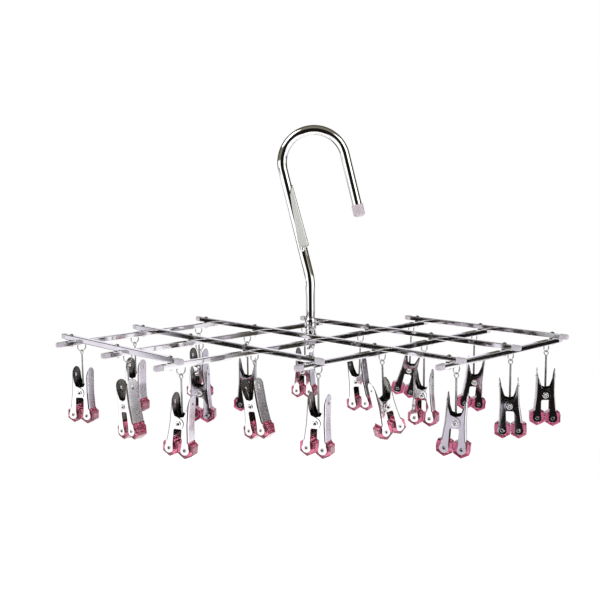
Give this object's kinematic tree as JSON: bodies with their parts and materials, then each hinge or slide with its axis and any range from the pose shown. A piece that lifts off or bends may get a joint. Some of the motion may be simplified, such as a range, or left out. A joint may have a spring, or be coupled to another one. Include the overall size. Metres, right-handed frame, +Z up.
{
  "type": "clip drying hanger",
  "caption": "Folding clip drying hanger: a round-tube hook with a wind gate on a riveted scissor lattice of square tubes, with spring clips hanging from wire loops.",
  "frame": {"origin": "the hook seat, at the inside top of the bend, where the rail carries the hanger", "axes": "+Z up, +X along the long side of the open lattice towards its right end as the picture shows it, +Y away from the viewer"},
  "size_m": [0.5377, 0.2832, 0.3155],
  "materials": {
    "polished_steel": "mirror-polished stainless steel tube",
    "bar_steel": "polished stainless steel, a little softer than a mirror",
    "clip_steel": "polished pressed stainless steel sheet and wire",
    "end_plug": "pale lilac translucent soft plastic",
    "tip_cap": "pale pinkish-white soft plastic",
    "roller": "translucent rose-pink soft plastic"
  },
  "bodies": {
    "hook": {"hook_tube": "polished_steel", "hook_tip_cap": "tip_cap", "hook_fasteners": "polished_steel"},
    "gate": {"hook_gate": "polished_steel"},
    "upper_a": {"upper_bar_a": "bar_steel", "upper_plugs_a": "end_plug"},
    "upper_b": {"upper_bar_b": "bar_steel", "upper_plugs_b": "end_plug"},
    "upper_c": {"upper_bar_c": "bar_steel", "upper_plugs_c": "end_plug"},
    "upper_d": {"upper_bar_d": "bar_steel", "upper_plugs_d": "end_plug"},
    "upper_e": {"upper_bar_e": "bar_steel", "upper_plugs_e": "end_plug"},
    "lower_1": {"lower_bar_1": "bar_steel", "lower_plugs_1": "end_plug"},
    "lower_2": {"lower_bar_2": "bar_steel", "lower_plugs_2": "end_plug"},
    "lower_3": {"lower_bar_3": "bar_steel", "lower_plugs_3": "end_plug"},
    "lower_4": {"lower_bar_4": "bar_steel", "lower_plugs_4": "end_plug"},
    "lower_5": {"lower_bar_5": "bar_steel", "lower_plugs_5": "end_plug"},
    "clip_a1": {"clip_a1_holder": "clip_steel"},
    "clip_a1_jaw": {"clip_a1_jaw": "clip_steel"},
    "clip_a2": {"clip_a2_holder": "clip_steel"},
    "clip_a2_jaw": {"clip_a2_jaw": "clip_steel"},
    "clip_a3": {"clip_a3_holder": "clip_steel"},
    "clip_a3_jaw": {"clip_a3_jaw": "clip_steel"},
    "clip_b1": {"clip_b1_holder": "clip_steel"},
    "clip_b1_jaw": {"clip_b1_jaw": "clip_steel"},
    "clip_b2": {"clip_b2_holder": "clip_steel"},
    "clip_b2_jaw": {"clip_b2_jaw": "clip_steel"},
    "clip_b3": {"clip_b3_holder": "clip_steel"},
    "clip_b3_jaw": {"clip_b3_jaw": "clip_steel"},
    "clip_b4": {"clip_b4_holder": "clip_steel"},
    "clip_b4_jaw": {"clip_b4_jaw": "clip_steel"},
    "clip_c1": {"clip_c1_holder": "clip_steel"},
    "clip_c1_jaw": {"clip_c1_jaw": "clip_steel"},
    "clip_c2": {"clip_c2_holder": "clip_steel"},
    "clip_c2_jaw": {"clip_c2_jaw": "clip_steel"},
    "clip_c4": {"clip_c4_holder": "clip_steel"},
    "clip_c4_jaw": {"clip_c4_jaw": "clip_steel"},
    "clip_c5": {"clip_c5_holder": "clip_steel"},
    "clip_c5_jaw": {"clip_c5_jaw": "clip_steel"},
    "clip_d2": {"clip_d2_holder": "clip_steel"},
    "clip_d2_jaw": {"clip_d2_jaw": "clip_steel"},
    "clip_d3": {"clip_d3_holder": "clip_steel"},
    "clip_d3_jaw": {"clip_d3_jaw": "clip_steel"},
    "clip_d4": {"clip_d4_holder": "clip_steel"},
    "clip_d4_jaw": {"clip_d4_jaw": "clip_steel"},
    "clip_d5": {"clip_d5_holder": "clip_steel"},
    "clip_d5_jaw": {"clip_d5_jaw": "clip_steel"},
    "clip_e3": {"clip_e3_holder": "clip_steel"},
    "clip_e3_jaw": {"clip_e3_jaw": "clip_steel"},
    "clip_e4": {"clip_e4_holder": "clip_steel"},
    "clip_e4_jaw": {"clip_e4_jaw": "clip_steel"},
    "clip_e5": {"clip_e5_holder": "clip_steel"},
    "clip_e5_jaw": {"clip_e5_jaw": "clip_steel"}
  },
  "joints": [
    {"name": "hook_swivel", "type": "hinge", "parent": "hook", "child": "upper_c", "pos_m": [-0.00475, 0, -0.20767], "axis": [0, 0, 1], "continuous": true},
    {"name": "gate_swing", "type": "hinge", "parent": "hook", "child": "gate", "pos_m": [-0.01248, 0, -0.11738], "axis": [0, 1, 0], "range_deg": [0, 55]},
    {"name": "lattice_fold", "type": "hinge", "parent": "upper_c", "child": "lower_3", "pos_m": [-0.00475, 0, -0.21347], "axis": [0, 0, 1], "range_deg": [-60, 60]},
    {"name": "fold_lower_1", "type": "hinge", "parent": "upper_c", "child": "lower_1", "pos_m": [-0.13203, 0.12728, -0.21347], "axis": [0, 0, 1], "range_deg": [-60, 60]},
    {"name": "fold_lower_2", "type": "hinge", "parent": "upper_c", "child": "lower_2", "pos_m": [-0.06839, 0.06364, -0.21347], "axis": [0, 0, 1], "range_deg": [-60, 60]},
    {"name": "fold_lower_4", "type": "hinge", "parent": "upper_c", "child": "lower_4", "pos_m": [0.05889, -0.06364, -0.21347], "axis": [0, 0, 1], "range_deg": [-60, 60]},
    {"name": "fold_lower_5", "type": "hinge", "parent": "upper_c", "child": "lower_5", "pos_m": [0.12253, -0.12728, -0.21347], "axis": [0, 0, 1], "range_deg": [-60, 60]},
    {"name": "fold_upper_a", "type": "hinge", "parent": "lower_3", "child": "upper_a", "pos_m": [-0.13203, -0.12728, -0.21347], "axis": [0, 0, 1], "range_deg": [-60, 60]},
    {"name": "fold_upper_b", "type": "hinge", "parent": "lower_3", "child": "upper_b", "pos_m": [-0.06839, -0.06364, -0.21347], "axis": [0, 0, 1], "range_deg": [-60, 60]},
    {"name": "fold_upper_d", "type": "hinge", "parent": "lower_3", "child": "upper_d", "pos_m": [0.05889, 0.06364, -0.21347], "axis": [0, 0, 1], "range_deg": [-60, 60]},
    {"name": "fold_upper_e", "type": "hinge", "parent": "lower_3", "child": "upper_e", "pos_m": [0.12253, 0.12728, -0.21347], "axis": [0, 0, 1], "range_deg": [-60, 60]},
    {"name": "clip_a1_swing", "type": "hinge", "parent": "lower_1", "child": "clip_a1", "pos_m": [-0.25118, 0.00813, -0.22637], "axis": [0.7071, 0.7071, 0], "range_deg": [-35, 35]},
    {"name": "clip_a1_squeeze", "type": "hinge", "parent": "clip_a1", "child": "clip_a1_jaw", "pos_m": [-0.25118, 0.00813, -0.27107], "axis": [-0.2756, -0.9613, 0], "range_deg": [0, 14], "stiffness_Nm_per_rad": 0.2, "springref_deg": -22.92},
    {"name": "clip_a2_swing", "type": "hinge", "parent": "lower_2", "child": "clip_a2", "pos_m": [-0.18754, -0.05551, -0.22637], "axis": [0.7071, 0.7071, 0], "range_deg": [-35, 35]},
    {"name": "clip_a2_squeeze", "type": "hinge", "parent": "clip_a2", "child": "clip_a2_jaw", "pos_m": [-0.18754, -0.05551, -0.27107], "axis": [0.6157, 0.788, 0], "range_deg": [0, 14], "stiffness_Nm_per_rad": 0.2, "springref_deg": -22.92},
    {"name": "clip_a3_swing", "type": "hinge", "parent": "lower_3", "child": "clip_a3", "pos_m": [-0.1239, -0.11915, -0.22637], "axis": [0.7071, 0.7071, 0], "range_deg": [-35, 35]},
    {"name": "clip_a3_squeeze", "type": "hinge", "parent": "clip_a3", "child": "clip_a3_jaw", "pos_m": [-0.1239, -0.11915, -0.27107], "axis": [-0.342, -0.9397, 0], "range_deg": [0, 14], "stiffness_Nm_per_rad": 0.2, "springref_deg": -22.92},
    {"name": "clip_b1_swing", "type": "hinge", "parent": "lower_1", "child": "clip_b1", "pos_m": [-0.2038, 0.05551, -0.22637], "axis": [0.7071, 0.7071, 0], "range_deg": [-35, 35]},
    {"name": "clip_b1_squeeze", "type": "hinge", "parent": "clip_b1", "child": "clip_b1_jaw", "pos_m": [-0.2038, 0.05551, -0.27107], "axis": [-0.4695, -0.8829, 0], "range_deg": [0, 14], "stiffness_Nm_per_rad": 0.2, "springref_deg": -22.92},
    {"name": "clip_b2_swing", "type": "hinge", "parent": "lower_2", "child": "clip_b2", "pos_m": [-0.1239, 0.00813, -0.22637], "axis": [0.7071, 0.7071, 0], "range_deg": [-35, 35]},
    {"name": "clip_b2_squeeze", "type": "hinge", "parent": "clip_b2", "child": "clip_b2_jaw", "pos_m": [-0.1239, 0.00813, -0.27107], "axis": [-0.0872, -0.9962, 0], "range_deg": [0, 14], "stiffness_Nm_per_rad": 0.2, "springref_deg": -22.92},
    {"name": "clip_b3_swing", "type": "hinge", "parent": "lower_3", "child": "clip_b3", "pos_m": [-0.06026, -0.05551, -0.22637], "axis": [0.7071, 0.7071, 0], "range_deg": [-35, 35]},
    {"name": "clip_b3_squeeze", "type": "hinge", "parent": "clip_b3", "child": "clip_b3_jaw", "pos_m": [-0.06026, -0.05551, -0.27107], "axis": [0.5592, 0.829, 0], "range_deg": [0, 14], "stiffness_Nm_per_rad": 0.2, "springref_deg": -22.92},
    {"name": "clip_b4_swing", "type": "hinge", "parent": "lower_4", "child": "clip_b4", "pos_m": [0.00338, -0.11915, -0.22637], "axis": [0.7071, 0.7071, 0], "range_deg": [-35, 35]},
    {"name": "clip_b4_squeeze", "type": "hinge", "parent": "clip_b4", "child": "clip_b4_jaw", "pos_m": [0.00338, -0.11915, -0.27107], "axis": [-0.4067, -0.9135, 0], "range_deg": [0, 14], "stiffness_Nm_per_rad": 0.2, "springref_deg": -22.92},
    {"name": "clip_c1_swing", "type": "hinge", "parent": "lower_1", "child": "clip_c1", "pos_m": [-0.14016, 0.11915, -0.22637], "axis": [0.7071, 0.7071, 0], "range_deg": [-35, 35]},
    {"name": "clip_c1_squeeze", "type": "hinge", "parent": "clip_c1", "child": "clip_c1_jaw", "pos_m": [-0.14016, 0.11915, -0.27107], "axis": [-0.4226, -0.9063, 0], "range_deg": [0, 14], "stiffness_Nm_per_rad": 0.2, "springref_deg": -22.92},
    {"name": "clip_c2_swing", "type": "hinge", "parent": "lower_2", "child": "clip_c2", "pos_m": [-0.07652, 0.05551, -0.22637], "axis": [0.7071, 0.7071, 0], "range_deg": [-35, 35]},
    {"name": "clip_c2_squeeze", "type": "hinge", "parent": "clip_c2", "child": "clip_c2_jaw", "pos_m": [-0.07652, 0.05551, -0.27107], "axis": [-0.0698, -0.9976, 0], "range_deg": [0, 14], "stiffness_Nm_per_rad": 0.2, "springref_deg": -22.92},
    {"name": "clip_c4_swing", "type": "hinge", "parent": "lower_4", "child": "clip_c4", "pos_m": [0.06702, -0.05551, -0.22637], "axis": [0.7071, 0.7071, 0], "range_deg": [-35, 35]},
    {"name": "clip_c4_squeeze", "type": "hinge", "parent": "clip_c4", "child": "clip_c4_jaw", "pos_m": [0.06867, -0.05716, -0.27101], "axis": [-0.4226, 0.9063, 0], "range_deg": [0, 14], "stiffness_Nm_per_rad": 0.2, "springref_deg": -22.92},
    {"name": "clip_c5_swing", "type": "hinge", "parent": "lower_5", "child": "clip_c5", "pos_m": [0.13066, -0.11915, -0.22637], "axis": [0.7071, 0.7071, 0], "range_deg": [-35, 35]},
    {"name": "clip_c5_squeeze", "type": "hinge", "parent": "clip_c5", "child": "clip_c5_jaw", "pos_m": [0.13066, -0.11915, -0.27107], "axis": [-0.2588, -0.9659, 0], "range_deg": [0, 14], "stiffness_Nm_per_rad": 0.2, "springref_deg": -22.92},
    {"name": "clip_d2_swing", "type": "hinge", "parent": "lower_2", "child": "clip_d2", "pos_m": [-0.01288, 0.11915, -0.22637], "axis": [0.7071, 0.7071, 0], "range_deg": [-35, 35]},
    {"name": "clip_d2_squeeze", "type": "hinge", "parent": "clip_d2", "child": "clip_d2_jaw", "pos_m": [-0.01288, 0.11915, -0.27107], "axis": [-0.3746, -0.9272, 0], "range_deg": [0, 14], "stiffness_Nm_per_rad": 0.2, "springref_deg": -22.92},
    {"name": "clip_d3_swing", "type": "hinge", "parent": "lower_3", "child": "clip_d3", "pos_m": [0.05076, 0.05551, -0.22637], "axis": [0.7071, 0.7071, 0], "range_deg": [-35, 35]},
    {"name": "clip_d3_squeeze", "type": "hinge", "parent": "clip_d3", "child": "clip_d3_jaw", "pos_m": [0.0491, 0.05716, -0.27101], "axis": [0.4384, 0.8988, 0], "range_deg": [0, 14], "stiffness_Nm_per_rad": 0.2, "springref_deg": -22.92},
    {"name": "clip_d4_swing", "type": "hinge", "parent": "lower_4", "child": "clip_d4", "pos_m": [0.1144, -0.00813, -0.22637], "axis": [0.7071, 0.7071, 0], "range_deg": [-35, 35]},
    {"name": "clip_d4_squeeze", "type": "hinge", "parent": "clip_d4", "child": "clip_d4_jaw", "pos_m": [0.1144, -0.00813, -0.27107], "axis": [-0.3746, -0.9272, 0], "range_deg": [0, 14], "stiffness_Nm_per_rad": 0.2, "springref_deg": -22.92},
    {"name": "clip_d5_swing", "type": "hinge", "parent": "lower_5", "child": "clip_d5", "pos_m": [0.1943, -0.05551, -0.22637], "axis": [0.7071, 0.7071, 0], "range_deg": [-35, 35]},
    {"name": "clip_d5_squeeze", "type": "hinge", "parent": "clip_d5", "child": "clip_d5_jaw", "pos_m": [0.1943, -0.05551, -0.27107], "axis": [0.2419, 0.9703, 0], "range_deg": [0, 14], "stiffness_Nm_per_rad": 0.2, "springref_deg": -22.92},
    {"name": "clip_e3_swing", "type": "hinge", "parent": "lower_3", "child": "clip_e3", "pos_m": [0.1144, 0.11915, -0.22637], "axis": [0.7071, 0.7071, 0], "range_deg": [-35, 35]},
    {"name": "clip_e3_squeeze", "type": "hinge", "parent": "clip_e3", "child": "clip_e3_jaw", "pos_m": [0.11274, 0.1208, -0.27101], "axis": [-0.1736, -0.9848, 0], "range_deg": [0, 14], "stiffness_Nm_per_rad": 0.2, "springref_deg": -22.92},
    {"name": "clip_e4_swing", "type": "hinge", "parent": "lower_4", "child": "clip_e4", "pos_m": [0.17804, 0.05551, -0.22637], "axis": [0.7071, 0.7071, 0], "range_deg": [-35, 35]},
    {"name": "clip_e4_squeeze", "type": "hinge", "parent": "clip_e4", "child": "clip_e4_jaw", "pos_m": [0.17804, 0.05551, -0.27107], "axis": [-0.0872, -0.9962, 0], "range_deg": [0, 14], "stiffness_Nm_per_rad": 0.2, "springref_deg": -22.92},
    {"name": "clip_e5_swing", "type": "hinge", "parent": "lower_5", "child": "clip_e5", "pos_m": [0.24168, -0.00813, -0.22637], "axis": [0.7071, 0.7071, 0], "range_deg": [-35, 35]},
    {"name": "clip_e5_squeeze", "type": "hinge", "parent": "clip_e5", "child": "clip_e5_jaw", "pos_m": [0.24168, -0.00813, -0.27107], "axis": [-0.1736, -0.9848, 0], "range_deg": [0, 14], "stiffness_Nm_per_rad": 0.2, "springref_deg": -22.92}
  ],
  "couplings": [
    {"joint": "fold_lower_1", "follows": "lattice_fold", "ratio": 1},
    {"joint": "fold_lower_2", "follows": "lattice_fold", "ratio": 1},
    {"joint": "fold_lower_4", "follows": "lattice_fold", "ratio": 1},
    {"joint": "fold_lower_5", "follows": "lattice_fold", "ratio": 1},
    {"joint": "fold_upper_a", "follows": "lattice_fold", "ratio": -1},
    {"joint": "fold_upper_b", "follows": "lattice_fold", "ratio": -1},
    {"joint": "fold_upper_d", "follows": "lattice_fold", "ratio": -1},
    {"joint": "fold_upper_e", "follows": "lattice_fold", "ratio": -1}
  ]
}
